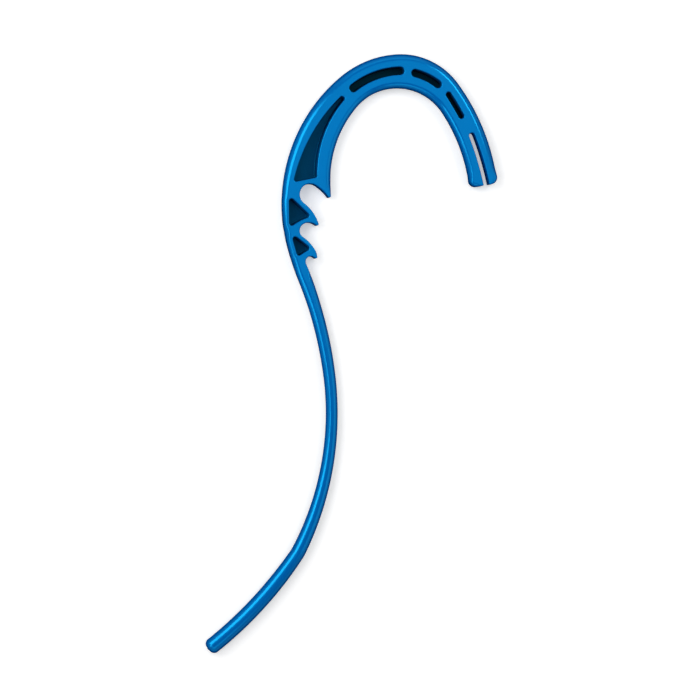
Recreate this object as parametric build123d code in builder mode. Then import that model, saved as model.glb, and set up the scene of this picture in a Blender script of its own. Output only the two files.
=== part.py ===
from build123d import *
from math import atan2, cos, degrees, radians, sin
import os

# Sock aid: one moulded plastic hook that lies flat on its back.  A long S-shaped round handle runs
# into a flat head with three graduated notches, a U-shaped arch and a free leg split into two prongs.
# Frame: z = 0 is the surface it lies on, +Z the moulding's thickness, +Y towards the crown of the
# arch and +X towards the free leg.  The origin is under the middle of the outline.  Millimetres.

# ---- driving dimensions ------------------------------------------------------------------------
THICKNESS = 13.0            # flat head, and the fat end of the handle
MID = THICKNESS / 2
RIM_RADIUS = 5.0            # rounding of the long outer and inner rims, front and back
TIP_RADIUS = 1.1            # rounding of the three horn tips, seen from the front
LEG_CORNER = 5.5            # rounding of the two corners at the end of the leg

FLOOR = 2.0                 # skin left under each blind pocket
DRAFT = 3.0                 # draft of the pocket walls, degrees
POCKET_CORNER = 2.2         # corner radius of the pockets

# Chains of tangent arcs that all turn right: (radius, degrees turned).
OUTER_START, OUTER_HEADING = (-42.1, 54.1), 112.4
OUTER_ARCS = [(238.0, 8.1), (132.7, 64.9), (78.8, 35.0), (57.1, 57.5), (168.0, 29.8)]
INNER_START, INNER_HEADING = (-17.85, 136.6), 91.0
INNER_ARCS = [(89.5, 41.6), (43.8, 105.7), (137.1, 27.0)]
NECK_WIDTH = 10.65          # where the head meets the rod

# Each notch: start and heading of its round root, then (radius, degrees turned) of the root.
NOTCH_1, NOTCH_1_HEADING, NOTCH_1_ARCS = (-39.65, 119.05), 142.8, [(8.6, 175.4)]
NOTCH_2, NOTCH_2_HEADING, NOTCH_2_ARCS = (-40.5, 92.05), 145.6, [(6.0, 105.9), (8.5, 72.6)]
NOTCH_3, NOTCH_3_HEADING, NOTCH_3_ARCS = (-38.0, 70.7), 113.0, [(4.3, 143.5)]
HORN_1_UNDER = [(38.0, 25.4)]
HORN_2_BACK = [(33.8, 39.8)]
HORN_3_BACK = [(33.2, 25.1), (12.0, 30.0)]
HORN_3_TIP = (-29.9, 74.7)

# Windows along the arch and the slot between the prongs: first, middle and last point, then width.
WINDOW_1 = ((0.1, 211.1), (18.2, 221.4), (37.9, 225.4), 6.7)
WINDOW_2 = ((50.2, 223.7), (59.7, 220.4), (68.4, 215.1), 6.5)
WINDOW_3 = ((77.4, 206.7), (82.6, 198.5), (87.6, 189.9), 4.8)
SLOT = ((96.4, 174.0), (102.2, 157.8), (109.8, 127.0), 4.8)

# Long pocket: its two long sides as arcs through three points.
LONG_POCKET_LEFT = ((-48.3, 135.5), (-32.2, 176.3), (-9.4, 205.0))
LONG_POCKET_RIGHT = ((-29.1, 139.5), (-22.3, 177.0), (-6.0, 203.0))
LONG_POCKET_CORNER = 1.8

# Three-cornered pockets: top, bottom and right corner, then the bow of the side under the right one.
UPPER_POCKET = ((-51.9, 125.6), (-51.6, 98.6), (-33.6, 108.3), 1.2)
LOWER_POCKET = ((-50.6, 96.0), (-44.7, 75.6), (-33.6, 82.8), 0.4)

FAR = 400.0                 # longer than the whole moulding

# Rod: centreline from the neck to the end of the handle, and its diameter at even steps along it.
ROD_HEADING = -69.15
ROD_ARCS = [(324.0, 13.5), (240.0, 34.3), (38.3, 7.5), (321.0, 17.5)]
ROD_SIZES = [NECK_WIDTH, 10.25, 10.0, 9.65, 9.55, 9.8, 10.2, 10.7, 11.4, 12.2, 12.6, 12.8, 12.8]
ROD_END_RADIUS = 4.6

# Where the moulding bends: pivot, heading of the limb there, and reach of the round joint face.
CLEARANCE = 0.1             # between the two round faces of a bending place
HANDLE_PIVOT_LENGTH, HANDLE_REACH = 112.0, 11.0
CROWN_PIVOT, CROWN_HEADING, CROWN_REACH = (26.0, 225.6), -3.0, 18.2
INNER_PIVOT, INNER_PRONG_HEADING, INNER_REACH = (91.75, 164.75), -69.5, 7.0
OUTER_PIVOT, OUTER_PRONG_HEADING, OUTER_REACH = (104.2, 171.0), -70.0, 5.5
INNER_LANE = ((60, 120), (112, 120), (94.2, 184), (60, 184))
OUTER_LANE = ((112, 120), (160, 120), (160, 184), (94.2, 184))

# The shank ends on a plane from the root of the top notch to the outer rim.
SHANK_REGION = ((-70, 45), (-19, 45), (-19, 115), (-34.45, 125.9), (-65, 137), (-70, 137))

# Shapes that are larger than the moulding, for cutting it.
NECK_SPARE = 8.0            # extra length below the neck, cut away again
UNCUT_TOP, UNCUT_LOW, UNCUT_END = (-18.1, 112.0), (-22.0, 104.0), (-22.0, 50.0)
HORN_1_SIDE = (-17.95, 127.0)
BELOW = Plane.XY.offset(-1)
THROUGH = THICKNESS + 2


# ---- helpers -------------------------------------------------------------------------------------
def direction(angle):
    """Unit vector at an angle in degrees."""
    return (cos(radians(angle)), sin(radians(angle)))


def arc_chain(start, angle, arcs):
    """Draws tangent arcs that turn right, and gives the point where they end."""
    point = start
    for radius, turn in arcs:
        arc = JernArc(start=point, tangent=direction(angle), radius=radius, arc_size=-turn)
        point = arc @ 1
        angle = angle - turn
    return point


def pocket(depth=THICKNESS - FLOOR):
    """Cuts the pending sketch down from the front face with drafted walls."""
    extrude(amount=-depth, taper=DRAFT, mode=Mode.SUBTRACT)


def arc_slot(first, middle, last, width):
    """Slot of one width with round ends, along the arc through three points."""
    SlotArc(arc=ThreePointArc(first, middle, last), height=width)


def side_of(pivot, angle, radius):
    """Disc round a pivot joined to everything that lies ahead of it at an angle."""
    with Locations(pivot):
        Circle(radius)
    ahead = direction(angle)
    middle = (pivot[0] + ahead[0] * FAR / 2, pivot[1] + ahead[1] * FAR / 2)
    with Locations(middle):
        Rectangle(FAR, FAR, rotation=angle)


# ---- the whole head, before it is divided --------------------------------------------------------
across_neck = Vector(*direction(ROD_HEADING + 90))
neck_outside = Vector(*OUTER_START) - across_neck * NECK_SPARE
neck_middle = Vector(*OUTER_START) + across_neck * NECK_WIDTH / 2
neck_right = Vector(*OUTER_START) + across_neck * NECK_WIDTH

with BuildPart() as head:
    # Limb with rounded rims, still whole on the side where the notches will be.
    with BuildSketch() as limb:
        with BuildLine():
            leg_outer = arc_chain(OUTER_START, OUTER_HEADING, OUTER_ARCS)
            leg_inner = arc_chain(INNER_START, INNER_HEADING, INNER_ARCS)
            Line(leg_outer, leg_inner)
            tail = Vector(*OUTER_START) - Vector(*direction(OUTER_HEADING)) * NECK_SPARE
            Polyline(INNER_START, UNCUT_TOP, UNCUT_LOW, UNCUT_END, tail, OUTER_START)
        make_face()
        corners = [limb.vertices().sort_by_distance(end)[0] for end in (leg_outer, leg_inner)]
        fillet(corners, LEG_CORNER)
    extrude(amount=THICKNESS)
    fillet(head.edges().filter_by(Plane.XY).filter_by(GeomType.CIRCLE), RIM_RADIUS)

    # Everything beyond the horns, the notch roots and the neck is cut away in one piece.
    with BuildSketch() as waste:
        with BuildLine():
            root_1 = arc_chain(NOTCH_1, NOTCH_1_HEADING, NOTCH_1_ARCS)
            tip_1 = arc_chain(root_1, NOTCH_1_HEADING - NOTCH_1_ARCS[0][1], HORN_1_UNDER)
            tip_2 = arc_chain(NOTCH_1, NOTCH_1_HEADING - 180, HORN_2_BACK)
            root_2 = arc_chain(NOTCH_2, NOTCH_2_HEADING, NOTCH_2_ARCS)
            Line(root_2, tip_2)
            back_3 = arc_chain(NOTCH_2, NOTCH_2_HEADING - 180, HORN_3_BACK)
            root_3 = arc_chain(NOTCH_3, NOTCH_3_HEADING, NOTCH_3_ARCS)
            Polyline(root_3, HORN_3_TIP, back_3)
            Polyline(NOTCH_3, neck_right, neck_outside, (-60, 20), (0, 20), (0, 127))
            Polyline((0, 127), HORN_1_SIDE, tip_1)
        make_face()
        tips = [waste.vertices().sort_by_distance(tip)[0] for tip in (tip_1, tip_2, HORN_3_TIP)]
        fillet(tips, TIP_RADIUS)
    extrude(amount=THICKNESS, mode=Mode.SUBTRACT)

    # Blind pockets in the front face: one long, two triangular and three windows along the arch.
    with BuildSketch(Plane.XY.offset(THICKNESS)):
        with BuildLine():
            ThreePointArc(*LONG_POCKET_LEFT)
            ThreePointArc(*LONG_POCKET_RIGHT)
            Line(LONG_POCKET_LEFT[0], LONG_POCKET_RIGHT[0])
            Line(LONG_POCKET_LEFT[2], LONG_POCKET_RIGHT[2])
        long_pocket = make_face()
        fillet(long_pocket.vertices(), LONG_POCKET_CORNER)
    pocket()
    for corner_a, corner_b, corner_c, bow in (UPPER_POCKET, LOWER_POCKET):
        with BuildSketch(Plane.XY.offset(THICKNESS)) as triangle:
            with BuildLine():
                Polyline(corner_b, corner_a, corner_c)
                SagittaArc(corner_b, corner_c, bow)
            make_face()
            fillet(triangle.vertices(), POCKET_CORNER)
        pocket()
    for first, middle, last, width in (WINDOW_1, WINDOW_2, WINDOW_3):
        with BuildSketch(Plane.XY.offset(THICKNESS)):
            arc_slot(first, middle, last, width)
        pocket()

    # Slot that splits the end of the leg into two prongs, right through.
    with BuildSketch():
        arc_slot(*SLOT)
    extrude(amount=THICKNESS, mode=Mode.SUBTRACT)


# ---- the head's sections ---------------------------------------------------------------------------
with BuildPart() as notched_shank:
    add(head.part)
    with BuildSketch(BELOW):
        Polygon(*SHANK_REGION, align=None)
    extrude(amount=THROUGH, mode=Mode.INTERSECT)

with BuildPart() as arch_limb:
    add(head.part)
    with BuildSketch(BELOW):
        side_of(CROWN_PIVOT, CROWN_HEADING + 180, CROWN_REACH)
        Polygon(*SHANK_REGION, align=None, mode=Mode.SUBTRACT)
    extrude(amount=THROUGH, mode=Mode.INTERSECT)

with BuildPart() as inner_prong:
    add(head.part)
    with BuildSketch(BELOW):
        side_of(INNER_PIVOT, INNER_PRONG_HEADING, INNER_REACH)
        Polygon(*INNER_LANE, align=None, mode=Mode.INTERSECT)
    extrude(amount=THROUGH, mode=Mode.INTERSECT)

with BuildPart() as outer_prong:
    add(head.part)
    with BuildSketch(BELOW):
        side_of(OUTER_PIVOT, OUTER_PRONG_HEADING, OUTER_REACH)
        Polygon(*OUTER_LANE, align=None, mode=Mode.INTERSECT)
    extrude(amount=THROUGH, mode=Mode.INTERSECT)

with BuildPart() as hook_leg:
    add(head.part)
    with BuildSketch(BELOW):
        side_of(CROWN_PIVOT, CROWN_HEADING + 180, CROWN_REACH + CLEARANCE)
    extrude(amount=THROUGH, mode=Mode.SUBTRACT)
    with BuildSketch(BELOW):
        side_of(INNER_PIVOT, INNER_PRONG_HEADING, INNER_REACH + CLEARANCE)
        Polygon(*INNER_LANE, align=None, mode=Mode.INTERSECT)
    extrude(amount=THROUGH, mode=Mode.SUBTRACT)
    with BuildSketch(BELOW):
        side_of(OUTER_PIVOT, OUTER_PRONG_HEADING, OUTER_REACH + CLEARANCE)
        Polygon(*OUTER_LANE, align=None, mode=Mode.INTERSECT)
    extrude(amount=THROUGH, mode=Mode.SUBTRACT)

# ---- the handle rod --------------------------------------------------------------------------------
with BuildLine() as centreline:
    arc_chain(neck_middle, ROD_HEADING, ROD_ARCS)
rod_path = centreline.wire().moved(Location((0, 0, MID)))

with BuildPart() as rod:
    for step, diameter in enumerate(ROD_SIZES):
        place = step / (len(ROD_SIZES) - 1)
        with BuildSketch(Plane(origin=rod_path @ place, x_dir=(0, 0, 1), z_dir=rod_path % place)):
            Circle(diameter / 2)
    loft()
    # Rounded nose on the fat end.
    nose = Plane(origin=rod_path @ 1, x_dir=rod_path % 1, z_dir=(0, 0, 1))
    with BuildSketch(nose):
        with BuildLine():
            Polyline((ROD_END_RADIUS, 0), (0, 0), (0, ROD_SIZES[-1] / 2))
            top = (0, ROD_SIZES[-1] / 2)
            shoulder = JernArc(start=top, tangent=(1, 0), radius=ROD_END_RADIUS, arc_size=-90)
            Line(shoulder @ 1, (ROD_END_RADIUS, 0))
        make_face()
    revolve(axis=Axis(nose.origin, nose.x_dir))

handle_place = HANDLE_PIVOT_LENGTH / rod_path.length
handle_pivot = tuple(rod_path @ handle_place)[:2]
handle_tangent = rod_path % handle_place
handle_heading = degrees(atan2(handle_tangent.Y, handle_tangent.X))

with BuildPart() as handle_grip:
    add(rod.part)
    with BuildSketch(BELOW):
        side_of(handle_pivot, handle_heading, HANDLE_REACH)
    extrude(amount=THROUGH, mode=Mode.INTERSECT)

with BuildPart() as handle_neck:
    add(rod.part)
    with BuildSketch(BELOW):
        side_of(handle_pivot, handle_heading, HANDLE_REACH + CLEARANCE)
    extrude(amount=THROUGH, mode=Mode.SUBTRACT)

# ---- export ----------------------------------------------------------------------------------------
SECTIONS = {
    "handle_grip": handle_grip,
    "handle_neck": handle_neck,
    "notched_shank": notched_shank,
    "arch_limb": arch_limb,
    "hook_leg": hook_leg,
    "inner_prong": inner_prong,
    "outer_prong": outer_prong,
}
whole = Compound([section.part for section in SECTIONS.values()]).bounding_box()
middle = Location((-whole.center().X, -whole.center().Y, 0))

os.makedirs("parts", exist_ok=True)
for label, section in SECTIONS.items():
    section.part.label = label
    export_step(section.part.moved(middle), f"parts/{label}.step")

# The places that the record states, in the exported frame.
pivots = {"handle": handle_pivot, "crown": CROWN_PIVOT, "inner": INNER_PIVOT, "outer": OUTER_PIVOT}
for name, pivot in pivots.items():
    print(name, "pivot", [round(a + b, 2) for a, b in zip(pivot, middle.position)])
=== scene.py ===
"""Sock aid: one glossy blue moulded hook that lies on its back on a pale table.

The moulding is shown without seams.  A head piece carries the notched shank, the arch and the leg,
two prong pieces lie beside the slot, and a handle piece is the rod.
All sizes are in millimetres until a mesh is written, which is in metres, in the frame of the part.
"""

import logging
import math
from dataclasses import dataclass, field
from enum import Enum

import bmesh
import bpy
import numpy as np
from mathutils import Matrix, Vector
from mathutils.geometry import delaunay_2d_cdt


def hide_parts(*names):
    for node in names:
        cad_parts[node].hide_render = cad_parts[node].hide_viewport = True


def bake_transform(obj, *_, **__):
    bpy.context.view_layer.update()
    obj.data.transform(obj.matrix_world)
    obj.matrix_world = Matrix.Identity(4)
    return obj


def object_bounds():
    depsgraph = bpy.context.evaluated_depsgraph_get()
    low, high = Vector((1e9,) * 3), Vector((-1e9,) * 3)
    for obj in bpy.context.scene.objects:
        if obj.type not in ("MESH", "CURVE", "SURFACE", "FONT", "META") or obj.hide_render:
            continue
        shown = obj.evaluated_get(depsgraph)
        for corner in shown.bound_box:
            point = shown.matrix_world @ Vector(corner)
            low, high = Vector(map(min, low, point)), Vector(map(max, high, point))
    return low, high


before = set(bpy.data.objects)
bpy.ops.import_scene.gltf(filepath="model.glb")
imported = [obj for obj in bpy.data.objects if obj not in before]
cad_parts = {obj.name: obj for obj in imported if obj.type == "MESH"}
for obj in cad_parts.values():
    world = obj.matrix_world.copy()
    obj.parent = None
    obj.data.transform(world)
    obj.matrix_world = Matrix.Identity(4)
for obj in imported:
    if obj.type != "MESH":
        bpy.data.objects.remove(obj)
CAD_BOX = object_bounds()

MM = 0.001  # metres in a millimetre
THICKNESS = 13.0  # flat head, and the fat end of the handle
MID = THICKNESS / 2
JOIN = 0.02  # points of an outline nearer than this are one
QUARTER = math.pi / 2  # a quarter turn
SLOT_NAME = "blue_plastic"
RECESS_SHADE = "recess_shade"  # mesh attribute of painted shade in the pockets, which also makes them matt

log = logging.getLogger("sock_aid")


def show(name: str, data: bpy.types.ID) -> bpy.types.Object:
    """Puts a mesh, a light or a camera into the scene as an object."""
    shown = bpy.data.objects.new(name, data)
    bpy.context.scene.collection.objects.link(shown)
    return shown


# ---- plane geometry ----
def direction(angle: float) -> np.ndarray:
    """Unit vector at an angle in degrees."""
    return np.array([math.cos(math.radians(angle)), math.sin(math.radians(angle))])


def left_of(vector: np.ndarray) -> np.ndarray:
    """The vector turned a quarter turn to the left."""
    return np.array([-vector[1], vector[0]])


def turn_of(before: np.ndarray, after: np.ndarray) -> int:
    """1 when a step to the left follows and -1 when it is to the right."""
    return 1 if before[0] * after[1] - before[1] * after[0] > 0 else -1


def normals_of(points: np.ndarray, closed: bool) -> np.ndarray:
    """Unit normals on the left side of a polyline.

    Args:
        points: The polyline, one row per point.
        closed: True when the last point joins the first.

    Returns:
        One unit normal per point, the mean of the normals of the two edges that meet there.
    """
    edges = np.diff(np.vstack([points, points[:1]]), axis=0)
    across = np.stack([-edges[:, 1], edges[:, 0]], axis=1)
    across /= np.maximum(np.linalg.norm(across, axis=1, keepdims=True), 1e-12)
    if not closed:
        across[-1] = across[-2]
    before = np.roll(across, 1, axis=0)
    if not closed:
        before[0] = across[0]
    total = across + before
    return total / np.linalg.norm(total, axis=1, keepdims=True)


def within(loop: np.ndarray, places: np.ndarray) -> np.ndarray:
    """True for each place that lies inside the loop."""
    inside = np.zeros(len(places), bool)
    x, y = places.T
    for (ax, ay), (bx, by) in zip(loop, np.roll(loop, -1, axis=0)):
        if ay != by:
            inside ^= ((ay > y) != (by > y)) & (x < (bx - ax) * (y - ay) / (by - ay) + ax)
    return inside


@dataclass
class Curve:
    """A stretch of outline as points, with the direction in which it ends."""

    points: np.ndarray
    heading: float = 0.0

    @property
    def end(self) -> np.ndarray:
        """Last point."""
        return self.points[-1]

    def reversed(self) -> "Curve":
        """The same stretch, drawn the other way."""
        return Curve(self.points[::-1].copy())


@dataclass
class Pen:
    """Draws lines and tangent arcs as points that lie close enough for smooth highlights."""

    step: float = 0.9  # longest distance between points
    turn: float = 4.0  # most degrees between points

    def arcs(self, start: tuple[float, float], heading: float, arcs: list[tuple[float, float]]) -> Curve:
        """Tangent arcs that turn right, one after another.

        Args:
            start: Where the first arc starts.
            heading: Direction in which it starts, in degrees.
            arcs: Radius and degrees turned of each arc.

        Returns:
            The arcs as one curve.
        """
        here, angle = np.array(start, float), heading
        points = [here]
        for radius, turned in arcs:
            centre = here - left_of(direction(angle)) * radius
            length = radius * math.radians(turned)
            count = max(2, math.ceil(turned / self.turn), math.ceil(length / self.step))
            for i in range(1, count + 1):
                points.append(centre + left_of(direction(angle - turned * i / count)) * radius)
            here, angle = points[-1], angle - turned
        return Curve(np.array(points), angle)

    def line(self, start: np.ndarray, end: np.ndarray) -> Curve:
        """A straight line from start to end."""
        count = max(2, math.ceil(np.linalg.norm(np.subtract(end, start)) / self.step))
        share = np.linspace(0, 1, count + 1)[:, None]
        return Curve(np.array(start) * (1 - share) + np.array(end) * share)

    def through(self, first: tuple, middle: tuple, last: tuple) -> Curve:
        """The arc through three points."""
        a, b, c = (np.array(p, float) for p in (first, middle, last))
        rows = np.array([b - a, c - a])
        centre = a + np.linalg.solve(rows, (rows ** 2).sum(axis=1) / 2)
        return self.round_about(centre, a, c, turn_of(b - a, c - b), fine=True)

    def round_about(self, centre: np.ndarray, start: np.ndarray, end: np.ndarray, way: int,
                    fine: bool = False) -> Curve:
        """An arc about a centre.

        Args:
            centre: Centre of the arc.
            start: First point.
            end: Last point.
            way: 1 to turn left and -1 to turn right.
            fine: False for a small rounding, which needs fewer points.

        Returns:
            The arc as a curve.
        """
        turn, step = (self.turn, self.step) if fine else (2 * self.turn, math.inf)
        radius = np.linalg.norm(start - centre)
        first = math.atan2(*(start - centre)[::-1])
        turned = (way * (math.atan2(*(end - centre)[::-1]) - first)) % (2 * math.pi)
        count = max(3, math.ceil(math.degrees(turned) / turn), math.ceil(radius * turned / step))
        sweep = first + way * turned * np.linspace(0, 1, count + 1)
        return Curve(centre + radius * np.stack([np.cos(sweep), np.sin(sweep)], axis=1))

    def corner(self, one: Curve, two: Curve, radius: float) -> tuple[Curve, Curve, Curve]:
        """Rounds the corner where two curves meet.

        Args:
            one: The curve that ends at the corner.
            two: The curve that starts there.
            radius: Radius of the rounding.

        Returns:
            The first curve cut short, the rounding, and the second curve cut short.
        """
        way = turn_of(one.points[-1] - one.points[-2], two.points[1] - two.points[0])
        near = one.points + way * radius * normals_of(one.points, False)
        far = two.points + way * radius * normals_of(two.points, False)
        for i in range(len(near) - 2, -1, -1):
            p, r = near[i], near[i + 1] - near[i]
            for j in range(len(far) - 1):
                q, s = far[j], far[j + 1] - far[j]
                cross = r[0] * s[1] - r[1] * s[0]
                if abs(cross) < 1e-12:
                    continue
                gap = q - p
                t = (gap[0] * s[1] - gap[1] * s[0]) / cross
                u = (gap[0] * r[1] - gap[1] * r[0]) / cross
                if not (0 <= t <= 1 and 0 <= u <= 1):
                    continue
                start = one.points[i] + t * (one.points[i + 1] - one.points[i])
                end = two.points[j] + u * (two.points[j + 1] - two.points[j])
                first = Curve(np.vstack([one.points[: i + 1], start]))
                second = Curve(np.vstack([end, two.points[j + 1:]]))
                return first, self.round_about(p + t * r, start, end, way), second
        raise ValueError("the corner is too tight for its rounding")


def chain(curves: list[Curve], closed: bool) -> np.ndarray:
    """Joins curves end to end into one row of points without repeated points.

    Args:
        curves: The curves in order.
        closed: True when the last joins the first.

    Returns:
        The points of the joined outline.
    """
    points = np.vstack([c.points for c in curves])
    keep = np.ones(len(points), bool)
    last = points[0]
    for i in range(1, len(points)):
        if np.linalg.norm(points[i] - last) < JOIN:
            keep[i] = False
        else:
            last = points[i]
    if closed and np.linalg.norm(points[keep][-1] - points[0]) < JOIN:
        keep[np.flatnonzero(keep)[-1]] = False
    return points[keep]


def rounded_loop(pen: Pen, curves: list[Curve], radius: float) -> np.ndarray:
    """Closed outline with every corner between its curves rounded.

    Args:
        pen: The pen that draws the roundings.
        curves: The curves in order, each ending where the next starts.
        radius: Radius of all the roundings.

    Returns:
        The points of the loop.
    """
    sides = list(curves)
    rounds: list[Curve] = []
    for i in range(len(sides)):
        following = (i + 1) % len(sides)
        sides[i], arc, sides[following] = pen.corner(sides[i], sides[following], radius)
        rounds.append(arc)
    parts = [c for side, arc in zip(sides, rounds) for c in (side, arc)]
    return chain(parts, True)


def anticlockwise(points: np.ndarray) -> np.ndarray:
    """The same loop, drawn anticlockwise."""
    x, y = points.T
    area = np.sum(x * np.roll(y, -1) - y * np.roll(x, -1))
    return points if area > 0 else points[::-1].copy()


# ---- mesh with exact normals ----
@dataclass
class Shell:
    """Mesh under construction: points, their exact normals and painted shade, faces and flat caps."""

    points: list[tuple[float, float, float]] = field(default_factory=list)
    normals: list[tuple[float, float, float]] = field(default_factory=list)
    recess_shade: dict[int, float] = field(default_factory=dict)
    faces: list[tuple[int, ...]] = field(default_factory=list)
    caps: list[tuple[int, ...]] = field(default_factory=list)

    def close(self) -> None:
        """Caps every open loop of edges with a flat face."""
        ahead = {}
        edges = {(a, b) for face in self.faces + self.caps for a, b in zip(face, face[1:] + face[:1])}
        for a, b in edges:
            if (b, a) not in edges:
                ahead[b] = a
        while ahead:
            start, here = ahead.popitem()
            loop = [start]
            while here != start:
                loop.append(here)
                here = ahead.pop(here)
            self.caps.append(tuple(loop))

    def ring(self, flat: np.ndarray, height: float | np.ndarray, sideways: np.ndarray,
             up: float | np.ndarray) -> list[int]:
        """Adds one ring of points.

        Args:
            flat: Their places in the plane.
            height: Their height, one for all or one each.
            sideways: Their normals' part in the plane.
            up: Their normals' part along the thickness, one for all or one each.

        Returns:
            The indices of the new points.
        """
        first = len(self.points)
        heights, ups = (np.broadcast_to(value, (len(flat),)) for value in (height, up))
        self.points += [tuple(p) for p in np.column_stack([flat, heights])]
        self.normals += [tuple(n) for n in np.column_stack([sideways, ups])]
        return list(range(first, len(self.points)))

    def bridge(self, lower: list[int], upper: list[int], closed: bool) -> None:
        """Joins two rings with quads, the upper one on the left when walking along the lower."""
        count = len(lower)
        for i in range(count if closed else count - 1):
            j = (i + 1) % count
            self.faces.append((lower[i], lower[j], upper[j], upper[i]))

    def sheet(self, loops: list[list[int]], facing_up: bool) -> None:
        """Fills a flat face that has one outer loop and any number of holes.

        Args:
            loops: Rings that bound the face, the outer one first.
            facing_up: True for a face that looks along +Z.
        """
        order = [i for loop in loops for i in loop]
        flat = [Vector(self.points[i][:2]) for i in order]
        edges, base = [], 0
        for loop in loops:
            count = len(loop)
            edges += [(base + i, base + (i + 1) % count) for i in range(count)]
            base += count
        inside_outline, nearness = 1, 1e-7
        _, _, faces, origins, _, _ = delaunay_2d_cdt(flat, edges, [], inside_outline, nearness)
        triangles = [tuple(order[origins[i][0]] for i in face) for face in faces]
        places = np.array(self.points)[:, :2]
        middles = places[np.array(triangles)].mean(axis=1)
        kept = within(places[loops[0]], middles)
        for hole in loops[1:]:
            kept &= ~within(places[hole], middles)
        for corners, keep in zip(triangles, kept):
            if keep:
                self.faces.append(corners if facing_up else corners[::-1])


@dataclass
class Pocket:
    """A blind pocket with a rounded rim, drafted walls and a floor with rounded corners."""

    loop: np.ndarray
    depth: float
    rim: float = 0.7  # rounding of the rim
    fillet: float = 0.8  # rounding where wall meets floor
    draft: float = 3.0  # degrees
    shade_depth: float = 4.0  # depth at which the painted shade and the matt finish are full
    shade_share: float = 0.8  # how much painted shade and matt finish there is at that depth
    rim_steps: int = 5
    fillet_steps: int = 4

    def mouth(self) -> np.ndarray:
        """Outline of the pocket's mouth, where its rounded rim meets the face."""
        return self.loop - normals_of(self.loop, True) * self.rim

    def cut(self, shell: Shell, top: float, way: int) -> list[int]:
        """Adds the pocket's walls and floor to a shell.

        Args:
            shell: The mesh that the pocket is cut into.
            top: Height of the face around it.
            way: 1 when the pocket is in the front face and -1 in the back.

        Returns:
            The ring around the pocket's mouth, which is a hole in the flat face.
        """
        outward = -normals_of(self.loop, True)
        inset = (self.depth - self.rim - self.fillet) * math.tan(math.radians(self.draft))
        profile = []
        for bend in np.linspace(QUARTER, 0, self.rim_steps + 1):
            spread, down = self.rim * (1 - math.cos(bend)), self.rim * (1 - math.sin(bend))
            profile.append((bend, spread, down))
        for bend in np.linspace(0, QUARTER, self.fillet_steps + 1):
            spread, up = -inset - self.fillet * (1 - math.cos(bend)), self.fillet * (1 - math.sin(bend))
            profile.append((bend, spread, self.depth - up))
        rings = []
        for bend, spread, down in profile:
            rings.append(shell.ring(self.loop + outward * spread, top - way * down,
                                    -outward * math.cos(bend), way * math.sin(bend)))
        # Painted shade: the front pocket's walls and floor grow darker with depth, where shade falls inside
        # it.
        if way > 0:
            for index in (i for ring in rings[1:] for i in ring):
                down = (top - shell.points[index][2]) / self.shade_depth
                shell.recess_shade[index] = self.shade_share * min(1.0, down)
        for pair in zip(rings, rings[1:]):
            shell.bridge(*pair[::way], True)
        shell.sheet([rings[-1]], way > 0)
        return rings[0]


# ---- the flat head: shank, arch, leg and prongs ----
class Part(Enum):
    """The bodies of the moulding."""

    HOOK = "hook"
    GRIP = "grip"
    LEG = "leg"
    INNER = "inner"
    OUTER = "outer"


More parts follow.
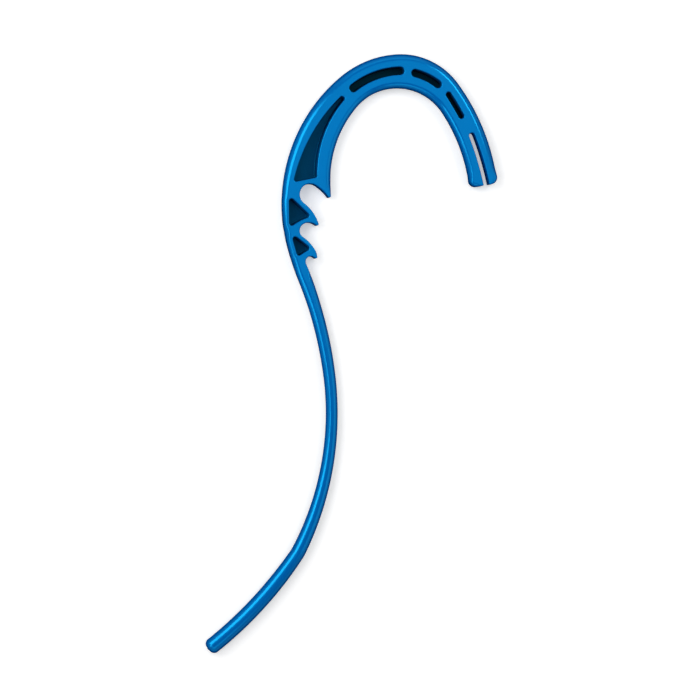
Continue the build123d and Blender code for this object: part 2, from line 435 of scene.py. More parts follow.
@dataclass
class Head:
    """The flat head, from the neck to the ends of the two prongs."""

    outer_rim: float = 6.3  # rounding of the outer rim around the arch
    shank_rim: float = 4.6  # rounding of the outer rim beside the notches
    shank_run: float = 66.0  # how far that reaches from the neck
    shank_growth: float = 0.04  # how fast it grows beyond, per millimetre of outline
    neck_fall: float = 0.05  # how fast the neck's rounding falls, per millimetre of outline
    long_rim: float = 5.0  # rounding of the long inner rim
    short_rim: float = 0.9  # rounding of the notches, horns and slot
    end_rim: float = 3.0  # rounding of the prongs' ends
    tip: float = 1.1  # horn tips, seen from the front
    leg_corner: float = 5.5
    mouth: float = 0.7  # corners at the mouth of the slot
    neck_width: float = 10.65
    neck_heading: float = -69.15
    neck_run: float = 17.0  # length over which the thickness falls to the neck's
    neck_top: float = 80.0  # only what lies below this Y is thinned
    rings: int = 9  # steps around each rounding
    trial: float = 0.1  # step between the roundings that are tried
    least: float = 0.3  # smallest rounding that is tried
    room_share: float = 0.85  # share of the room between two sides that a rounding takes
    spare: float = 0.4  # flat that stays between two roundings that face each other
    lip: float = 0.35  # flat that stays around a pocket
    slope: float = 0.45  # fastest change of a rounding along the outline
    neck_points: int = 8  # first points of the outline, where the rounding may change faster
    floor: float = 2.0  # what is left under the pockets
    long_corner: float = 1.8  # corners of the long pocket
    small_corner: float = 2.2  # corners of the three-cornered pockets
    mark_radius: float = 2.5
    mark_depth: float = 0.35
    mark_points: int = 40
    outer_start: tuple[float, float] = (-42.1, 54.1)
    outer_heading: float = 112.4
    outer_arcs: tuple = ((238.0, 8.1), (132.7, 64.9), (78.8, 35.0), (57.1, 57.5), (168.0, 29.8))
    inner_start: tuple[float, float] = (-17.85, 136.6)
    inner_heading: float = 91.0
    inner_arcs: tuple = ((89.5, 41.6), (43.8, 105.7), (137.1, 27.0))
    slot: tuple = ((96.4, 174.0), (102.2, 157.8), (109.8, 127.0))
    slot_width: float = 4.8
    crown: tuple[float, float] = (26.0, 225.6)
    crown_heading: float = -3.0
    crown_reach: float = 18.2  # half the length of the span across the crown
    prong_heading: float = -69.5
    prong_reach: float = 9.0  # length beyond the cut along the prong's heading
    prong_cut: tuple[float, float] = (97.6, 170.6)  # the prongs start on a plane through here
    prong_side: float = 60.0  # and lie beyond this X

    @property
    def across(self) -> np.ndarray:
        """Direction across the neck, from the outer rim to the inner one."""
        return direction(self.neck_heading + 90)

    @property
    def neck_middle(self) -> np.ndarray:
        """Middle of the neck, where the rod starts."""
        return np.array(self.outer_start) + self.across * self.neck_width / 2

    def outline(self, pen: Pen) -> tuple[np.ndarray, np.ndarray]:
        """Draws the outline anticlockwise, from the right of the neck to its left.

        Args:
            pen: The pen that draws it.

        Returns:
            The points, and the rounding that each would have if there were room for it.
        """
        foot_1, heading_1 = (-39.65, 119.05), 142.8
        foot_2, heading_2 = (-40.5, 92.05), 145.6
        notch_1 = pen.arcs(foot_1, heading_1, [(8.6, 175.4)])
        under_1 = pen.arcs(tuple(notch_1.end), notch_1.heading, [(38.0, 25.4)])
        back_2 = pen.arcs(foot_1, heading_1 - 180, [(33.8, 39.8)]).reversed()
        notch_2 = pen.arcs(foot_2, heading_2, [(6.0, 105.9), (8.5, 72.6)])
        back_3 = pen.arcs(foot_2, heading_2 - 180, [(33.2, 25.1), (12.0, 30.0)]).reversed()
        notch_3 = pen.arcs((-38.0, 70.7), 113.0, [(4.3, 143.5)])
        horn_3 = np.array((-29.9, 74.7))
        rim_3 = pen.line(notch_3.end, horn_3)
        side_3 = pen.line(horn_3, back_3.points[0])
        rim_3, round_3, side_3 = pen.corner(rim_3, side_3, self.tip)
        edge_2, round_2, back_2 = pen.corner(pen.line(notch_2.end, back_2.points[0]), back_2, self.tip)
        inner = pen.arcs(self.inner_start, self.inner_heading, list(self.inner_arcs))
        side_1 = pen.line(under_1.end, inner.points[0])
        under_1, round_1, side_1 = pen.corner(under_1, side_1, self.tip)
        outer = pen.arcs(self.outer_start, self.outer_heading, list(self.outer_arcs)).reversed()
        end = pen.line(inner.end, outer.points[0])
        middle = pen.through(*self.slot)
        inward = normals_of(middle.points, False) * self.slot_width / 2
        outer_lip = Curve(middle.points + inward)
        inner_lip = Curve((middle.points - inward)[::-1])
        root = pen.round_about(middle.points[0], inner_lip.end, outer_lip.points[0], -1)
        inner, turn_1, end_1 = pen.corner(inner, end, self.leg_corner)
        end_1, turn_2, inner_lip = pen.corner(end_1, inner_lip, self.mouth)
        outer_lip, turn_3, end_2 = pen.corner(outer_lip, end, self.mouth)
        end_2, turn_4, outer = pen.corner(end_2, outer, self.leg_corner)
        neck_right = self.neck_middle + self.across * self.neck_width / 2
        neck_side = pen.line(neck_right, notch_3.points[0])
        small = [neck_side, notch_3, rim_3, round_3, side_3, back_3, notch_2, edge_2, round_2, back_2,
                 notch_1, under_1, round_1]
        stretches = [
            (self.short_rim, small), (self.long_rim, [side_1, inner]), (self.end_rim, [turn_1, end_1]),
            (self.short_rim, [turn_2, inner_lip, root, outer_lip, turn_3]),
            (self.end_rim, [end_2, turn_4]), (self.outer_rim, [outer]),
        ]
        curves = [(rounding, c.points) for rounding, stretch in stretches for c in stretch]
        points = np.vstack([places for _, places in curves])
        wanted = np.concatenate([np.full(len(places), rounding) for rounding, places in curves])
        keep = np.r_[True, np.linalg.norm(np.diff(points, axis=0), axis=1) > JOIN]
        return points[keep], wanted[keep]

    def roundings(self, points: np.ndarray, inward: np.ndarray, wanted: np.ndarray,
                  mouths: np.ndarray) -> np.ndarray:
        """Fits the roundings to the room that there is, with soft changes from one to the next.

        Args:
            points: The outline.
            inward: Its unit normals, into the head.
            wanted: The rounding wanted at each point.
            mouths: Points around the mouths of the pockets.

        Returns:
            The rounding at each point.
        """
        # The room is the radius of the largest circle inside that touches the outline at the point.
        gap = points[None, :, :] - points[:, None, :]
        ahead = np.einsum("ijk,ik->ij", gap, inward)
        squared = (gap ** 2).sum(axis=2)
        room = np.where(ahead > 1e-3, squared / np.maximum(2 * ahead, 1e-9), 1e3).min(axis=1)
        facing = inward @ inward.T < 0.5  # sides that don't look the same way
        fitted = np.minimum(wanted, self.room_share * room)
        # Corners and blunt ends have room for more, as long as no other side is near.
        free = np.ones(len(points), bool)
        for rounding in np.arange(self.least, self.outer_rim + self.trial / 2, self.trial):
            shifted = points + rounding * inward
            far = np.linalg.norm(shifted[:, None, :] - points[None, :, :], axis=2)
            free &= np.where(facing, far, 1e3).min(axis=1) > self.short_rim + self.spare
            fitted = np.where(free, np.maximum(fitted, np.minimum(wanted, rounding)), fitted)
        beside = np.linalg.norm(points[:, None, :] - mouths[None, :, :], axis=2).min(axis=1)
        fitted = np.minimum(fitted, beside - self.lip)
        # The rod starts with its own rounding, and none changes faster than the slope.
        step = np.linalg.norm(np.diff(points, axis=0), axis=1)
        near_neck = np.r_[0, np.cumsum(step)]
        fitted = np.maximum(fitted, self.long_rim - self.slope * near_neck)
        for i in range(self.neck_points + 1, len(fitted)):
            fitted[i] = min(fitted[i], fitted[i - 1] + self.slope * step[i - 1])
        for i in range(len(fitted) - 2, -1, -1):
            if near_neck[i] > self.neck_run / 2:
                fitted[i] = min(fitted[i], fitted[i + 1] + self.slope * step[i])
        far_neck = near_neck[-1] - near_neck
        beside_notches = self.shank_rim + self.shank_growth * np.maximum(far_neck - self.shank_run, 0)
        beside_neck = self.long_rim - self.neck_fall * far_neck
        return np.minimum(fitted, np.maximum(beside_notches, beside_neck))

    def pockets(self, pen: Pen) -> list[Pocket]:
        """Draws the blind pockets in the front face.

        Args:
            pen: The pen that draws them.

        Returns:
            The long pocket, two three-cornered ones and three windows.
        """
        left = pen.through((-48.3, 135.5), (-32.2, 176.3), (-9.4, 205.0))
        right = pen.through((-6.0, 203.0), (-22.3, 177.0), (-29.1, 139.5))
        long_sides = [left, pen.line(left.end, right.points[0]), right, pen.line(right.end, left.points[0])]
        depth = THICKNESS - self.floor
        found = [Pocket(rounded_loop(pen, long_sides, self.long_corner), depth)]
        triangles = (
            ((-51.9, 125.6), (-51.6, 98.6), (-33.6, 108.3), 1.2),
            ((-50.6, 96.0), (-44.7, 75.6), (-33.6, 82.8), 0.4),
        )
        for top, bottom, right_corner, bow in triangles:
            one, two = np.array(bottom), np.array(right_corner)
            crest = (one + two) / 2 + left_of(two - one) / np.linalg.norm(two - one) * bow
            sides = [pen.line(top, bottom), pen.through(bottom, tuple(crest), right_corner),
                     pen.line(right_corner, top)]
            found.append(Pocket(rounded_loop(pen, sides, self.small_corner), depth))
        windows = (
            ((0.1, 211.1), (18.2, 221.4), (37.9, 225.4), 6.7),
            ((50.2, 223.7), (59.7, 220.4), (68.4, 215.1), 6.5),
            ((77.4, 206.7), (82.6, 198.5), (87.6, 189.9), 4.8),
        )
        for first, middle, last, width in windows:
            spine = pen.through(first, middle, last)
            offset = normals_of(spine.points, False) * width / 2
            one, two = Curve(spine.points + offset), Curve((spine.points - offset)[::-1])
            far = pen.round_about(spine.end, one.end, two.points[0], -1)
            near = pen.round_about(spine.points[0], two.end, one.points[0], -1)
            found.append(Pocket(chain([one, far, two, near], True), depth, fillet=0.6, shade_share=1.0))
        for pocket in found:
            pocket.loop = anticlockwise(pocket.loop)
        return found

    def ejector_marks(self) -> list[Pocket]:
        """Shallow round marks on the back, where pins push the moulding out of its mould."""
        places = [(-41.0, 88.0), (-44.5, 113.0), (-36.0, 152.0), (-16.0, 191.0), (18.0, 221.0),
                  (58.0, 220.0), (84.0, 194.0)]
        turn = np.linspace(0, 2 * math.pi, self.mark_points, endpoint=False)
        circle = self.mark_radius * np.stack([np.cos(turn), np.sin(turn)], axis=1)
        return [Pocket(np.array(place) + circle, self.mark_depth, rim=0.12, fillet=0.1, draft=10.0,
                       rim_steps=3, fillet_steps=2) for place in places]

    def build(self, pen: Pen) -> Shell:
        """Builds the whole head as one mesh that is open only at the neck.

        Args:
            pen: The pen that draws its outlines.

        Returns:
            The mesh, in millimetres.
        """
        shell = Shell()
        points, wanted = self.outline(pen)
        inward = normals_of(points, False)
        inward[0], inward[-1] = -self.across, self.across
        pockets = self.pockets(pen)
        rounding = self.roundings(points, inward, wanted, np.vstack([p.mouth() for p in pockets]))
        rows = []
        for side in (-1, 1):
            for bend in np.linspace(0, QUARTER, self.rings + 1)[::side]:
                spread = rounding * (1 - math.cos(bend))
                height = MID + side * (MID - rounding * (1 - math.sin(bend)))
                rows.append(shell.ring(points + inward * spread[:, None], height,
                                       -inward * math.cos(bend), side * math.sin(bend)))
        for lower, upper in zip(rows, rows[1:]):
            shell.bridge(lower, upper, False)
        shell.sheet([rows[-1]] + [p.cut(shell, THICKNESS, 1) for p in pockets], True)
        shell.sheet([rows[0]] + [p.cut(shell, 0.0, -1) for p in self.ejector_marks()], False)
        self.thin_the_neck(shell)
        return shell

    def thin_the_neck(self, shell: Shell) -> None:
        """Brings the thickness down to the rod's towards the neck."""
        points, normals = np.array(shell.points), np.array(shell.normals)
        along = (points[:, :2] - self.neck_middle) @ -direction(self.neck_heading)
        share = np.clip(along / self.neck_run, 0, 1)
        share = share * share * (3 - 2 * share)
        share = np.where(points[:, 1] < self.neck_top, share, 1.0)
        scale = self.neck_width / THICKNESS * (1 - share) + share
        points[:, 2] = MID + (points[:, 2] - MID) * scale
        normals[:, 2] /= scale
        shell.points = [tuple(p) for p in points]
        shell.normals = [tuple(n) for n in normals / np.linalg.norm(normals, axis=1, keepdims=True)]

    def divide(self, shell: Shell) -> dict[str, Shell]:
        """Divides the head where the prongs start.

        Args:
            shell: The whole head.

        Returns:
            The head without its prongs, and each prong, all closed.
        """
        work = bmesh.new()
        exact = work.verts.layers.float_vector.new("exact")
        recess_shade = work.verts.layers.float.new(RECESS_SHADE)
        for i, (point, normal) in enumerate(zip(shell.points, shell.normals)):
            vertex = work.verts.new(point)
            vertex[exact] = Vector(normal)
            vertex[recess_shade] = shell.recess_shade.get(i, 0.0)
        work.verts.ensure_lookup_table()
        for corners in shell.faces:
            work.faces.new([work.verts[i] for i in corners])
        aside = [f for f in work.faces if f.calc_center_median().x > self.prong_side]
        around = list(dict.fromkeys(part for face in aside for part in (*face.edges, *face.verts)))
        ahead = Vector((*direction(self.prong_heading), 0))
        cut = Vector((*self.prong_cut, MID))
        bmesh.ops.bisect_plane(work, geom=aside + around, dist=1e-5, plane_co=cut, plane_no=ahead)
        groups: dict[str, list] = {"hook_head": [], "inner_prong_tip": [], "outer_prong_tip": []}
        spine = Vector((*self.slot[1], MID))
        for face in work.faces:
            middle = face.calc_center_median()
            if middle.x <= self.prong_side or (middle - cut).dot(ahead) <= 0:
                name = "hook_head"
            else:
                name = "outer_prong_tip" if ahead.cross(middle - spine).z > 0 else "inner_prong_tip"
            groups[name].append(face)
        pieces = {}
        for name, faces in groups.items():
            vertices = list(dict.fromkeys(v for face in faces for v in face.verts))
            index = {vertex: i for i, vertex in enumerate(vertices)}
            piece = Shell([tuple(v.co) for v in vertices], [tuple(v[exact].normalized()) for v in vertices])
            piece.recess_shade = {i: v[recess_shade] for v, i in index.items() if v[recess_shade] > 0}
            piece.faces = [tuple(index[v] for v in face.verts) for face in faces]
            piece.close()
            pieces[name] = piece
        work.free()
        return pieces


# ---- the handle ----
@dataclass
class Handle:
    """The long S-curved round rod, from the neck to its blunt end."""

    arcs: tuple = ((324.0, 13.5), (240.0, 34.3), (38.3, 7.5), (321.0, 17.5))
    sizes: tuple = (10.65, 10.25, 10.0, 9.65, 9.55, 9.8, 10.2, 10.7, 11.4, 12.2, 12.6, 12.8, 12.8)
    end_rounding: float = 4.6
    dome: float = 0.35  # how far the middle of the end stands out
    dome_rings: tuple = (0.75, 0.5, 0.25)  # places of the rings on it, as shares of its radius
    corner_across: float = 5.0  # corner of the neck's section, across and along the thickness
    corner_along: float = 4.1
    morph: float = 24.0  # length over which the neck's section turns round
    step: float = 1.5  # length between sections
    around: int = 64  # points around the rod
    samples: int = 721  # points that a section is worked out from
    end_steps: int = 12  # steps around the end's rounding
    pivot_length: float = 112.0
    reach: float = 35.0  # half the length of the span about the pivot

    @property
    def length(self) -> float:
        """Length of the centreline."""
        return sum(radius * math.radians(turned) for radius, turned in self.arcs)

    def place(self, head: Head, along: float) -> tuple[np.ndarray, float]:
        """Finds a place on the centreline.

        Args:
            head: The head that the rod starts from.
            along: Distance from the neck.

        Returns:
            The point, and the heading there in degrees.
        """
        here, angle = head.neck_middle, head.neck_heading
        for radius, turned in self.arcs:
            part = min(along, radius * math.radians(turned))
            swept = math.degrees(part / radius)
            centre = here - left_of(direction(angle)) * radius
            here = centre + left_of(direction(angle - swept)) * radius
            angle -= swept
            along -= part
            if along <= 0:
                break
        return here, angle

    def radius(self, along: float) -> float:
        """Radius of the rod at a distance from the neck, smooth between the given sizes."""
        sizes = np.array(self.sizes) / 2
        slopes = np.gradient(sizes)
        place = min(max(along / self.length, 0), 1) * (len(sizes) - 1)
        i = min(int(place), len(sizes) - 2)
        t = place - i
        start, end = (1 + 2 * t) * (1 - t) ** 2 * sizes[i], t * t * (3 - 2 * t) * sizes[i + 1]
        return float(start + end + t * (1 - t) ** 2 * slopes[i] - t * t * (1 - t) * slopes[i + 1])

    def section(self, along: float, half: float) -> np.ndarray:
        """Section of the rod: a rounded square at the neck that turns into a circle.

        Args:
            along: Distance from the neck.
            half: Half the rod's size there.

        Returns:
            Points around the section: across, then along the thickness.
        """
        share = min(along / self.morph, 1)
        share = share * share * (3 - 2 * share)
        wide = self.corner_across * (1 - share) + half * share
        high = self.corner_along * (1 - share) + half * share
        turn = np.linspace(-math.pi, math.pi, self.samples)
        edge_x = np.sign(np.cos(turn)) * (half - wide) + wide * np.cos(turn)
        edge_z = np.sign(np.sin(turn)) * (half - high) + high * np.sin(turn)
        seen = np.arctan2(edge_z, edge_x)
        wanted = np.linspace(-math.pi, math.pi, self.around, endpoint=False)
        far = np.interp(wanted, seen, np.hypot(edge_x, edge_z), period=2 * math.pi)
        return np.stack([far * np.cos(wanted), far * np.sin(wanted)], axis=1)

    def build(self, head: Head) -> Shell:
        """Builds the rod as one closed mesh.

        Args:
            head: The head that the rod starts from.

        Returns:
            The mesh, in millimetres.
        """
        shell, grid = Shell(), []
        stations = list(np.linspace(0, self.length, math.ceil(self.length / self.step) + 1))
        sections = [(s, self.section(s, self.radius(s))) for s in stations]
        full = self.radius(self.length)
        for bend in np.linspace(0, QUARTER, self.end_steps + 1)[1:]:
            half = full - self.end_rounding * (1 - math.cos(bend))
            along = self.length + self.end_rounding * math.sin(bend)
            sections.append((along, self.section(self.morph, half)))
        flat = full - self.end_rounding
        for share in self.dome_rings:
            along = self.length + self.end_rounding + self.dome * (1 - share * share)
            sections.append((along, self.section(self.morph, flat * share)))
        for along, section in sections:
            middle, heading = self.place(head, min(along, self.length))
            middle = middle + direction(heading) * max(along - self.length, 0)
            flat_part = middle + section[:, :1] * -left_of(direction(heading))
            grid.append(np.column_stack([flat_part, MID + section[:, 1]]))
        places = np.array(grid)
        lengthwise = np.gradient(places, axis=0)
        padded = np.concatenate([places[:, -1:], places, places[:, :1]], axis=1)
        around = (padded[:, 2:] - padded[:, :-2]) / 2
        normals = np.cross(lengthwise, around)
        outward = places - places.mean(axis=1, keepdims=True)
        normals *= np.sign((normals * outward).sum(axis=(1, 2), keepdims=True))
        normals /= np.maximum(np.linalg.norm(normals, axis=2, keepdims=True), 1e-12)
        rings = [shell.ring(row[:, :2], row[:, 2], lean[:, :2], lean[:, 2])
                 for row, lean in zip(places, normals)]
        for one, two in zip(rings, rings[1:]):
            shell.bridge(two, one, True)
        tip, heading = self.place(head, self.length)
        ahead = direction(heading)
        summit = tip + ahead * (self.end_rounding + self.dome)
        middle = shell.ring(summit[None], MID, ahead[None], 0.0)[0]
        for here, following in zip(rings[-1], rings[-1][1:] + rings[-1][:1]):
            shell.faces.append((middle, following, here))
        shell.close()
        return shell


# ---- shader tools ----
class Value:
    """A number on a node socket, so that shader maths can be written as expressions."""

    def __init__(self, graph: "Graph", socket: bpy.types.NodeSocket) -> None:
        """Wraps an output socket of one of the graph's nodes."""
        self.graph, self.socket = graph, socket

    def math(self, operation: str, *others: "Value | float", swap: bool = False) -> "Value":
        """Result of a Math node, whose operands are this value and the others, or swapped."""
        operands = [self, *others]
        if swap:
            operands.reverse()
        return self.graph.value("ShaderNodeMath", 0, dict(enumerate(operands)), operation=operation)

    def __add__(self, other: "Value | float") -> "Value":
        """Sum."""
        return self.math("ADD", other)

    __radd__ = __add__

    def __mul__(self, other: "Value | float") -> "Value":
        """Product."""
        return self.math("MULTIPLY", other)

    __rmul__ = __mul__

    def __sub__(self, other: "Value | float") -> "Value":
        """Difference."""
        return self.math("SUBTRACT", other)

    def __rsub__(self, other: "Value | float") -> "Value":
        """Difference with this value taken away."""
        return self.math("SUBTRACT", other, swap=True)

    def __abs__(self) -> "Value":
        """Size without its sign."""
        return self.math("ABSOLUTE")

    def ramp(self, low: float, high: float, start: "Value | float", end: float,
             kind: str = "LINEAR") -> "Value":
        """Change from start, at low, to end, at high."""
        inputs = {0: self, 1: low, 2: high, 3: start, 4: end}
        return self.graph.value("ShaderNodeMapRange", 0, inputs, interpolation_type=kind)

    def fade(self, low: float, high: float) -> "Value":
        """Smooth step from 0 at low to 1 at high."""
        return self.ramp(low, high, 0.0, 1.0, "SMOOTHSTEP")


class Graph:
    """The node tree of a material or of the world."""

    def __init__(self, owner: "bpy.types.Material | bpy.types.World") -> None:
        """Empties the node tree of its owner."""
        owner.use_nodes = True
        self.owner, self.tree = owner, owner.node_tree
        self.tree.nodes.clear()

    def add(self, kind: str, inputs: dict | None = None, **settings: str) -> bpy.types.Node:
        """Adds any node.

        Args:
            kind: The node's type.
            inputs: Values or links of its sockets, by name or index.
            settings: Its properties, which are set first.

        Returns:
            The new node.
        """
        node = self.tree.nodes.new(kind)
        for name, value in settings.items():
            setattr(node, name, value)
        for key, value in (inputs or {}).items():
            source = value.socket if isinstance(value, Value) else value
            if isinstance(source, bpy.types.NodeSocket):
                self.tree.links.new(source, node.inputs[key])
            else:
                node.inputs[key].default_value = source
        return node

    def value(self, kind: str, output: str | int, inputs: dict | None = None, **settings: str) -> Value:
        """Adds any node and wraps one of its outputs."""
        return Value(self, self.add(kind, inputs, **settings).outputs[output])

    def place(self, kind: str = "Object") -> bpy.types.NodeSocket:
        """Position on the object in metres, in its own frame, or another kind of coordinates."""
        return self.add("ShaderNodeTexCoord").outputs[kind]

    def height(self, place: bpy.types.NodeSocket) -> Value:
        """Third coordinate of a place."""
        return self.value("ShaderNodeSeparateXYZ", 2, {0: place})

    def noise(self, scale: float, detail: float = 2.0, rough: float = 0.5,
              stretch: tuple[float, float, float] = (1, 1, 1)) -> Value:
        """Noise from 0 to 1 over the surface, with about so many features per metre."""
        spread = self.add("ShaderNodeMapping", {"Vector": self.place(), "Scale": stretch})
        inputs = {"Vector": spread.outputs[0], "Scale": scale, "Detail": detail, "Roughness": rough}
        return self.value("ShaderNodeTexNoise", "Fac", inputs)

    def blend(self, share: Value, low: "tuple | bpy.types.NodeSocket",
              high: tuple) -> bpy.types.NodeSocket:
        """Mixes two colours, with the given share of the second."""
        first = (*low, 1.0) if isinstance(low, tuple) else low
        inputs = {0: share, 6: first, 7: (*high, 1.0)}
        return self.add("ShaderNodeMix", inputs, data_type="RGBA").outputs[2]

    def surface(self, inputs: dict) -> bpy.types.Material:
        """Finishes a material with one Principled surface and returns it."""
        shader = self.add("ShaderNodeBsdfPrincipled", inputs)
        self.add("ShaderNodeOutputMaterial", {0: shader.outputs[0]})
        return self.owner


# ---- finishes ----
@dataclass(frozen=True)
class MouldedPlastic:
    """Glossy blue plastic as it comes from a polished mould."""

    name: str = SLOT_NAME
    deep: tuple[float, float, float] = (0.0, 0.156, 0.590)
    bright: tuple[float, float, float] = (0.0, 0.166, 0.620)
    # painted shade colour for the pockets' walls and floors
    painted_recess_shade: tuple[float, float, float] = (0.0, 0.006, 0.028)
    sheen: tuple[float, float, float] = (0.03, 1.0, 0.85)
    roughness: float = 0.195
    smeared: float = 0.05  # spread of the roughness, where hands have been
    scuffed: float = 0.015  # extra roughness of fine scuffs
    dull: float = 0.3  # extra roughness deep in the pockets
    flake: float = 0.22  # share of fine metallic flake in the pigment
    core_flake: float = 0.6  # more of that deep in the pockets
    peel_height: float = 0.0000012  # relief, in metres like the three sizes below
    scratch_height: float = 0.0000004
    parting_height: float = 0.00006
    parting_width: float = 0.00022

    def material(self) -> bpy.types.Material:
        """Builds the material.

        Returns:
            The finished material.
        """
        graph = Graph(bpy.data.materials.new(self.name))
        flow = graph.noise(16.0, detail=3.0)
        cloud = graph.noise(70.0, detail=4.0, rough=0.6)
        shade = flow * 0.65 + cloud * 0.35
        recess_shade = graph.value("ShaderNodeAttribute", "Fac", attribute_name=RECESS_SHADE)
        face = graph.blend(shade.fade(0.34, 0.66), self.deep, self.bright)
        # Painted shade: the pockets are blended towards the dark colour by the painted shade mask, which
        # also roughens them below.
        colour = graph.blend(recess_shade, face, self.painted_recess_shade)
        smear = graph.noise(45.0, detail=5.0, rough=0.65, stretch=(1.0, 2.5, 1.0))
        hairs = graph.noise(420.0, detail=3.0, rough=0.7, stretch=(0.12, 1.6, 1.0))
        scuffs = hairs.fade(0.62, 0.78) * smear.fade(0.45, 0.65)
        wear = (smear - 0.5) * self.smeared + scuffs * self.scuffed
        roughness = self.roughness + wear + recess_shade * self.dull
        peel = graph.noise(650.0, detail=2.0)
        height = graph.height(graph.place())
        line = 1 - abs(height - MID * MM).fade(self.parting_width * 0.3, self.parting_width)
        relief = peel * self.peel_height - scuffs * self.scratch_height + line * self.parting_height
        bump = graph.add("ShaderNodeBump", {"Strength": 1.0, "Distance": 1.0, "Height": relief})
        return graph.surface({
            "Base Color": colour, "Roughness": roughness, "Metallic": self.flake + recess_shade * self.core_flake,
            "IOR": 1.6, "Specular IOR Level": 1.0, "Specular Tint": (*self.sheen, 1.0),
            "Normal": bump.outputs["Normal"],
        })


@dataclass(frozen=True)
class TableTop:
    """Matt white studio table."""

    name: str = "white_table"
    pale: tuple[float, float, float] = (0.90, 0.90, 0.90)
    dim: tuple[float, float, float] = (0.885, 0.885, 0.885)
    roughness: float = 0.75
    uneven: float = 0.05  # spread of the roughness
    glow: float = 0.45  # the table is lit from below as well

    def material(self) -> bpy.types.Material:
        """Builds the material and returns it."""
        graph = Graph(bpy.data.materials.new(self.name))
        colour = graph.blend(graph.noise(9.0, detail=3.0).fade(0.3, 0.7), self.dim, self.pale)
        roughness = self.roughness + (graph.noise(60.0) - 0.5) * self.uneven
        return graph.surface({"Base Color": colour, "Roughness": roughness, "Specular IOR Level": 0.2,
                              "Emission Color": colour, "Emission Strength": self.glow})


# ---- pieces ----
@dataclass
class Moulding:
    """The visible moulding: head, two prong ends and handle."""

    head: Head = field(default_factory=Head)
    handle: Handle = field(default_factory=Handle)
    pen: Pen = field(default_factory=Pen)

    def shift(self, shells: dict[str, Shell]) -> np.ndarray:
        """The move in X and Y that puts the middle of the outline where the part's is."""
        points = np.vstack([np.array(s.points)[:, :2] for s in shells.values()])
        middle = (points.min(axis=0) + points.max(axis=0)) / 2
        low, high = (np.array(corner)[:2] for corner in CAD_BOX)
        return (low + high) / 2 / MM - middle

    def mesh(self, name: str, shell: Shell, move: np.ndarray,
             material: bpy.types.Material) -> bpy.types.Object:
        """Writes one piece as an object.

        Args:
            name: Name of the piece.
            shell: Its mesh, in millimetres.
            move: Move in X and Y, in millimetres.
            material: Its material.

        Returns:
            The object.
        """
        mesh = bpy.data.meshes.new(name)
        points = (np.array(shell.points) + [*move, 0.0]) * MM
        mesh.from_pydata(points.tolist(), [], shell.faces + shell.caps)
        mesh.polygons.foreach_set("use_smooth", [True] * len(mesh.polygons))
        mesh.materials.append(material)
        exact = []
        for face in mesh.polygons:
            flat = face.index >= len(shell.faces)
            exact += [tuple(face.normal) if flat else shell.normals[i] for i in face.vertices]
        mesh.normals_split_custom_set(exact)
        # The painted shade of the pockets goes onto the mesh as an attribute, which the material reads.
        depth = mesh.attributes.new(RECESS_SHADE, "FLOAT", "POINT")
        depth.data.foreach_set("value", [shell.recess_shade.get(i, 0.0) for i in range(len(points))])
        piece = show(name, mesh)
        return piece

    def build(self, material: bpy.types.Material) -> list[bpy.types.Object]:
        """Builds all pieces, bakes their transforms and hides the CAD parts that they stand in for.

        Args:
            material: The plastic.

        Returns:
            The pieces.
        """
        shells = self.head.divide(self.head.build(self.pen))
        shells["s_handle"] = self.handle.build(self.head)
        move = self.shift(shells)
        pieces = {name: self.mesh(name, shell, move, material) for name, shell in shells.items()}

        def spot(place: np.ndarray) -> tuple[float, float, float]:
            """A place in the frame of the part, in metres, at mid thickness."""
            x, y = (np.array(place) + move) * MM
            return float(x), float(y), MID * MM

        crown = np.array(self.head.crown)
        along = direction(self.head.crown_heading) * self.head.crown_reach
        start, end = spot(crown - along), spot(crown + along)
        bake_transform(pieces["hook_head"])
        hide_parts("notched_shank", "arch_limb", "hook_leg")
        pivot, heading = self.handle.place(self.head, self.handle.pivot_length)
        bend = direction(heading) * self.handle.reach
        start, end = spot(pivot - bend), spot(pivot + bend)
        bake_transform(pieces["s_handle"])
        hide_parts("handle_neck", "handle_grip")
        cut = np.array(self.head.prong_cut)
        free = cut + direction(self.head.prong_heading) * self.head.prong_reach
        for name, body, node in (("inner_prong_tip", Part.INNER, "inner_prong"),
                                 ("outer_prong_tip", Part.OUTER, "outer_prong")):
            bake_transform(pieces[name], Part.LEG.value, body.value, spot(cut), spot(free))
            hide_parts(node)
        return list(pieces.values())


# ---- studio ----
@dataclass
class Softbox:
    """A square or oblong area light aimed at a point."""

    name: str
    place: tuple[float, float, float]
    aim: tuple[float, float, float]
    size: tuple[float, float]
    brightness: float  # radiance of its face

    def build(self) -> None:
        """Adds the light to the scene."""
        lamp = bpy.data.lights.new(self.name, "AREA")
        lamp.shape = "RECTANGLE"
        lamp.size, lamp.size_y = self.size
        lamp.energy = self.brightness * math.pi * self.size[0] * self.size[1]
        light = show(self.name, lamp)
        light.location = self.place
        light.rotation_euler = (Vector(self.aim) - Vector(self.place)).to_track_quat("-Z", "Y").to_euler()


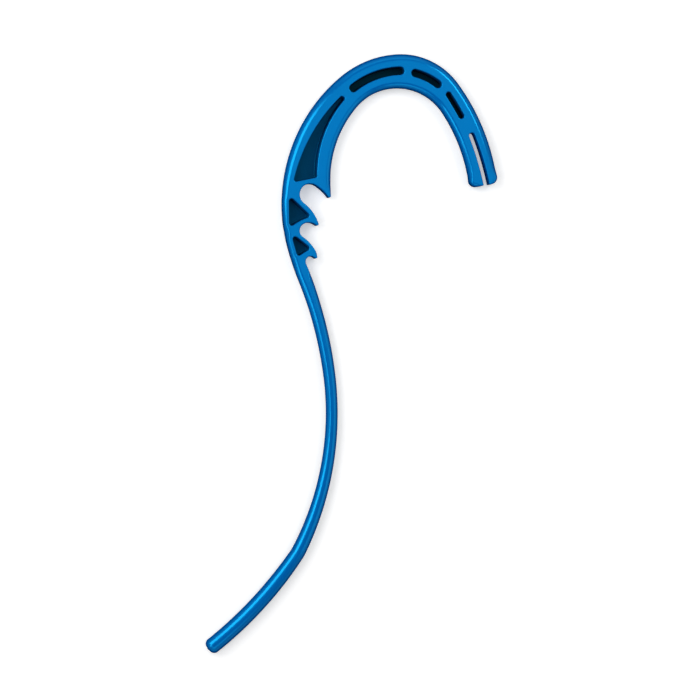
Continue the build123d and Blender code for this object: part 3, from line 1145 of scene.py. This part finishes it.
@dataclass
class Studio:
    """White table, soft lights and a camera that looks almost straight down."""

    distance: float = 2.5
    tilt: float = 8.5  # degrees from straight down, towards -X
    view_width: float = 0.56  # width seen at mid thickness
    centre: tuple[float, float] = (-0.00162, 0.00182)
    table: float = 6.0  # width of the table
    gap: float = 0.0001  # between the table and the moulding
    room_light: float = 0.6  # at the horizon
    room_height: float = 0.65  # height in the room at which that has faded out, as a sine
    room_seen: float = 0.95  # what the camera sees instead
    boxes: tuple = (
        Softbox("key_box", (-0.98, 0.53, 1.15), (0.0, 0.05, 0.0), (1.1, 1.0), 3.7),
        Softbox("left_box", (-0.95, -0.42, 1.05), (0.0, 0.05, 0.0), (0.5, 0.8), 2.4),
        Softbox("upper_right_box", (0.85, 0.75, 1.20), (0.0, 0.10, 0.0), (0.5, 0.5), 5.0),
        Softbox("right_box", (1.15, -0.10, 1.0), (0.0, 0.10, 0.0), (1.2, 0.9), 0.8),
        Softbox("top_box", (0.15, 0.36, 1.30), (0.15, 0.20, 0.0), (0.9, 0.7), 0.75),
        Softbox("far_box", (0.05, 1.45, 0.95), (0.0, 0.15, 0.0), (1.4, 0.7), 0.8),
        Softbox("near_box", (0.03, -1.05, 1.15), (0.0, 0.1, 0.0), (1.2, 0.8), 1.0),
    )

    def camera(self) -> None:
        """Adds the camera and makes it the scene's."""
        tilt = math.radians(self.tilt)
        back = Vector((-math.sin(tilt), 0, math.cos(tilt)))
        lens = bpy.data.cameras.new("view")
        lens.lens = lens.sensor_width * self.distance / self.view_width
        eye = show("view", lens)
        eye.location = Vector((*self.centre, MID * MM)) + back * self.distance
        eye.rotation_euler = (0.0, -tilt, 0.0)
        bpy.context.scene.camera = eye

    def floor(self) -> bpy.types.Object:
        """Adds the table top just under the moulding and returns it."""
        half, level = self.table / 2, CAD_BOX[0][2] - self.gap
        mesh = bpy.data.meshes.new("table_top")
        corners = [(-half, -half, level), (half, -half, level), (half, half, level), (-half, half, level)]
        mesh.from_pydata(corners, [], [(0, 1, 2, 3)])
        mesh.materials.append(TableTop().material())
        top = show("table_top", mesh)
        top.visible_diffuse = top.visible_glossy = False
        return top

    def sky(self) -> None:
        """Lights the room from the horizon up, and shows the camera a pale backdrop instead."""
        world = bpy.data.worlds.new("room")
        bpy.context.scene.world = world
        graph = Graph(world)
        height = graph.height(graph.place("Generated"))
        above = height.math("GREATER_THAN", 0.0)
        lit = height.ramp(0.0, self.room_height, self.room_light, 0.0) * above
        seen = graph.value("ShaderNodeLightPath", "Is Camera Ray")
        inputs = {"Color": (1.0, 1.0, 1.0, 1.0), "Strength": seen.ramp(0.0, 1.0, lit, self.room_seen)}
        ground = graph.add("ShaderNodeBackground", inputs)
        graph.add("ShaderNodeOutputWorld", {0: ground.outputs[0]})

    def build(self) -> None:
        """Sets up the table, lights, surroundings and camera."""
        self.floor()
        for box in self.boxes:
            box.build()
        self.sky()
        self.camera()
        view = bpy.context.scene.view_settings
        view.view_transform, view.look = "Standard", "None"


def main() -> None:
    """Builds the moulding and the studio."""
    logging.basicConfig(level=logging.INFO, format="%(name)s %(message)s")
    for piece in Moulding().build(MouldedPlastic().material()):
        log.info("%s: %d faces", piece.name, len(piece.data.polygons))
    Studio().build()


if __name__ == "__main__":
    main()
